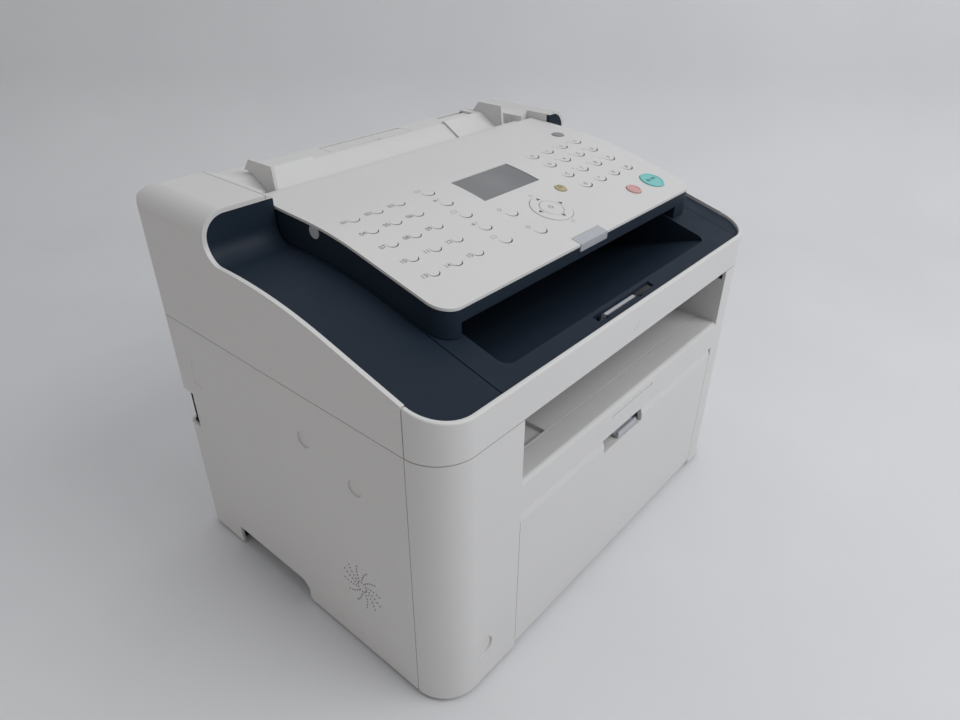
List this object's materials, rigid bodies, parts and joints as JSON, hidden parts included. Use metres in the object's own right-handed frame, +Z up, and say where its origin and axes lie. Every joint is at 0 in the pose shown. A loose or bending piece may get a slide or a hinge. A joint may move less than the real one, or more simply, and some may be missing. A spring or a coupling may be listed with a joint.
{
  "type": "fax machine",
  "caption": "Compact desktop laser fax with a hinged key panel, document feeder, sunk output tray, front paper door and hinged top unit.",
  "frame": {"origin": "on the ground plane, under the centre of the body", "axes": "+X to the machine's right as seen from the user, +Y to the back, +Z up"},
  "size_m": [0.372, 0.276, 0.299],
  "materials": {
    "white_plastic": "fine spark-eroded grain, satin",
    "navy_plastic": "fine grain, satin",
    "light_grey_plastic": "smooth satin",
    "black_plastic": "satin",
    "zinc_steel": "zinc plated",
    "rubber": "matt",
    "circuit_board": "solder mask",
    "drum_coating": "glossy coating",
    "gear_plastic": "moulded acetal",
    "lens_plastic": "smoked translucent",
    "display_glass": "tinted window",
    "teal_key": "satin",
    "red_key": "satin",
    "olive_key": "satin",
    "grey_key": "satin"
  },
  "bodies": {
    "chassis": {"base_pan": "black_plastic", "feet": "rubber", "left_frame": "zinc_steel", "right_frame": "zinc_steel", "left_cover": "white_plastic", "right_cover": "white_plastic", "front_cover": "white_plastic", "rear_cover": "white_plastic", "upper_left_cover": "white_plastic", "upper_right_cover": "white_plastic", "front_band": "white_plastic", "tray_left": "navy_plastic", "tray_right": "navy_plastic", "output_tray": "white_plastic", "paper_bay": "black_plastic", "laser_scanner": "black_plastic", "toner_cartridge": "black_plastic", "main_motor": "zinc_steel", "main_board": "circuit_board", "speaker": "black_plastic", "power_inlet": "black_plastic", "phone_jacks": "black_plastic", "case_screws": "zinc_steel"},
    "front_door": {"front_door": "white_plastic"},
    "door_latch": {"door_latch": "light_grey_plastic"},
    "output_stop": {"output_stop": "white_plastic"},
    "lift_plate": {"lift_plate": "zinc_steel"},
    "paper_guide_left": {"paper_guide_left": "navy_plastic"},
    "paper_guide_right": {"paper_guide_right": "navy_plastic"},
    "pickup_roller": {"pickup_roller": "rubber"},
    "transfer_roller": {"transfer_roller": "rubber"},
    "drum": {"photo_drum": "drum_coating", "drum_gear": "gear_plastic"},
    "fuser": {"fuser_roller": "zinc_steel", "fuser_gear": "gear_plastic"},
    "pressure_roller": {"pressure_roller": "rubber"},
    "motor_shaft": {"motor_pinion": "gear_plastic"},
    "power_switch": {"power_switch": "black_plastic"},
    "top_unit": {"tray_cover": "navy_plastic", "adf_cover": "white_plastic", "adf_frame": "zinc_steel", "scan_unit": "black_plastic"},
    "grip_latch": {"grip_latch": "light_grey_plastic"},
    "document_guide_left": {"document_guide_left": "white_plastic"},
    "document_guide_right": {"document_guide_right": "white_plastic"},
    "guide_pinion": {"guide_pinion": "gear_plastic"},
    "document_support": {"document_support": "white_plastic"},
    "feed_roller": {"feed_roller": "rubber"},
    "eject_roller": {"eject_roller": "rubber"},
    "panel": {"panel_top": "white_plastic", "panel_base": "navy_plastic", "lamp_lens": "lens_plastic", "lcd_window": "display_glass", "key_mat": "rubber"},
    "start_key": {"start_key": "teal_key"},
    "stop_key": {"stop_key": "red_key"},
    "save_key": {"save_key": "olive_key"},
    "hook_key": {"hook_key": "grey_key"},
    "ok_key": {"ok_key": "white_plastic"},
    "nav_ring": {"nav_ring": "white_plastic"}
  },
  "joints": [
    {"name": "cover_hinge", "type": "hinge", "parent": "chassis", "child": "top_unit", "pos_m": [0, 0.129, 0.256], "axis": [-1, 0, 0], "range_deg": [0, 35]},
    {"name": "panel_hinge", "type": "hinge", "parent": "top_unit", "child": "panel", "pos_m": [0, 0.074, 0.281], "axis": [-1, 0, 0], "range_deg": [0, 50]},
    {"name": "door_hinge", "type": "hinge", "parent": "chassis", "child": "front_door", "pos_m": [0, -0.133, 0.008], "axis": [1, 0, 0], "range_deg": [0, 90]},
    {"name": "door_latch_pivot", "type": "hinge", "parent": "chassis", "child": "door_latch", "pos_m": [0.013, -0.1318, 0.1286], "axis": [1, 0, 0], "range_deg": [0, 15], "stiffness_Nm_per_rad": 0.02, "springref_deg": -17.19},
    {"name": "stop_slide", "type": "slide", "parent": "chassis", "child": "output_stop", "axis": [0, -1, 0], "range_m": [0, 0.022]},
    {"name": "lift_pivot", "type": "hinge", "parent": "chassis", "child": "lift_plate", "pos_m": [0.015, -0.112, 0.011], "axis": [1, 0, 0], "range_deg": [0, 8]},
    {"name": "paper_guide_slide", "type": "slide", "parent": "chassis", "child": "paper_guide_left", "axis": [1, 0, 0], "range_m": [0, 0.034]},
    {"name": "paper_guide_follow", "type": "slide", "parent": "chassis", "child": "paper_guide_right", "axis": [1, 0, 0], "range_m": [-0.034, 0]},
    {"name": "pickup_spin", "type": "hinge", "parent": "chassis", "child": "pickup_roller", "pos_m": [0.0151, -0.008, 0.042], "axis": [1, 0, 0], "continuous": true},
    {"name": "drum_spin", "type": "hinge", "parent": "chassis", "child": "drum", "pos_m": [0.0151, 0.01415, 0.1], "axis": [1, 0, 0], "continuous": true},
    {"name": "transfer_spin", "type": "hinge", "parent": "chassis", "child": "transfer_roller", "pos_m": [0.0151, -0.00565, 0.1], "axis": [1, 0, 0], "continuous": true},
    {"name": "fuser_spin", "type": "hinge", "parent": "chassis", "child": "fuser", "pos_m": [0.0151, 0.0113, 0.14992], "axis": [1, 0, 0], "continuous": true},
    {"name": "pressure_spin", "type": "hinge", "parent": "chassis", "child": "pressure_roller", "pos_m": [0.0151, -0.007, 0.14992], "axis": [1, 0, 0], "continuous": true},
    {"name": "motor_spin", "type": "hinge", "parent": "chassis", "child": "motor_shaft", "pos_m": [0.0151, 0.03102, 0.07989], "axis": [1, 0, 0], "continuous": true},
    {"name": "switch_rock", "type": "hinge", "parent": "chassis", "child": "power_switch", "pos_m": [0.094, 0.1295, 0.035], "axis": [1, 0, 0], "range_deg": [0, 14]},
    {"name": "grip_pivot", "type": "hinge", "parent": "top_unit", "child": "grip_latch", "pos_m": [-0.0025, -0.127, 0.219], "axis": [1, 0, 0], "range_deg": [0, 10], "stiffness_Nm_per_rad": 0.03, "springref_deg": -17.19},
    {"name": "document_guide_slide", "type": "slide", "parent": "top_unit", "child": "document_guide_left", "axis": [1, 0, 0], "range_m": [0, 0.034]},
    {"name": "document_guide_follow", "type": "slide", "parent": "top_unit", "child": "document_guide_right", "axis": [1, 0, 0], "range_m": [-0.034, 0]},
    {"name": "guide_pinion_spin", "type": "hinge", "parent": "top_unit", "child": "guide_pinion", "pos_m": [0.0151, 0.1245, 0.2815], "axis": [0, 0, 1], "range_deg": [-2, 490]},
    {"name": "support_hinge", "type": "hinge", "parent": "top_unit", "child": "document_support", "pos_m": [0.0073, 0.1315, 0.287], "axis": [-1, 0, 0], "range_deg": [0, 120]},
    {"name": "feed_spin", "type": "hinge", "parent": "top_unit", "child": "feed_roller", "pos_m": [0.0151, 0.058, 0.25191], "axis": [1, 0, 0], "continuous": true},
    {"name": "eject_spin", "type": "hinge", "parent": "top_unit", "child": "eject_roller", "pos_m": [0.0151, -0.008, 0.23392], "axis": [1, 0, 0], "continuous": true},
    {"name": "start_press", "type": "slide", "parent": "panel", "child": "start_key", "axis": [0, 0.238, -0.9713], "range_m": [0, 0.0008], "stiffness_N_per_m": 400, "springref_m": -0.001},
    {"name": "stop_press", "type": "slide", "parent": "panel", "child": "stop_key", "axis": [0, 0.238, -0.9713], "range_m": [0, 0.0008], "stiffness_N_per_m": 400, "springref_m": -0.001},
    {"name": "save_press", "type": "slide", "parent": "panel", "child": "save_key", "axis": [0, 0.238, -0.9713], "range_m": [0, 0.0008], "stiffness_N_per_m": 400, "springref_m": -0.001},
    {"name": "hook_press", "type": "slide", "parent": "panel", "child": "hook_key", "axis": [0, 0.0593, -0.9982], "range_m": [0, 0.0008], "stiffness_N_per_m": 400, "springref_m": -0.001},
    {"name": "ok_press", "type": "slide", "parent": "panel", "child": "ok_key", "axis": [0, 0.238, -0.9713], "range_m": [0, 0.0008], "stiffness_N_per_m": 400, "springref_m": -0.001},
    {"name": "nav_press", "type": "slide", "parent": "panel", "child": "nav_ring", "axis": [0, 0.238, -0.9713], "range_m": [0, 0.0008], "stiffness_N_per_m": 400, "springref_m": -0.001}
  ],
  "couplings": [
    {"joint": "paper_guide_follow", "follows": "paper_guide_slide", "ratio": -1},
    {"joint": "transfer_spin", "follows": "drum_spin", "ratio": -1.6},
    {"joint": "fuser_spin", "follows": "drum_spin", "ratio": -0.6},
    {"joint": "pressure_spin", "follows": "drum_spin", "ratio": 0.6},
    {"joint": "motor_spin", "follows": "drum_spin", "ratio": -2.5},
    {"joint": "document_guide_follow", "follows": "document_guide_slide", "ratio": -1},
    {"joint": "guide_pinion_spin", "follows": "document_guide_slide", "rad_per_m": 250},
    {"joint": "eject_spin", "follows": "feed_spin", "ratio": 1.25}
  ]
}
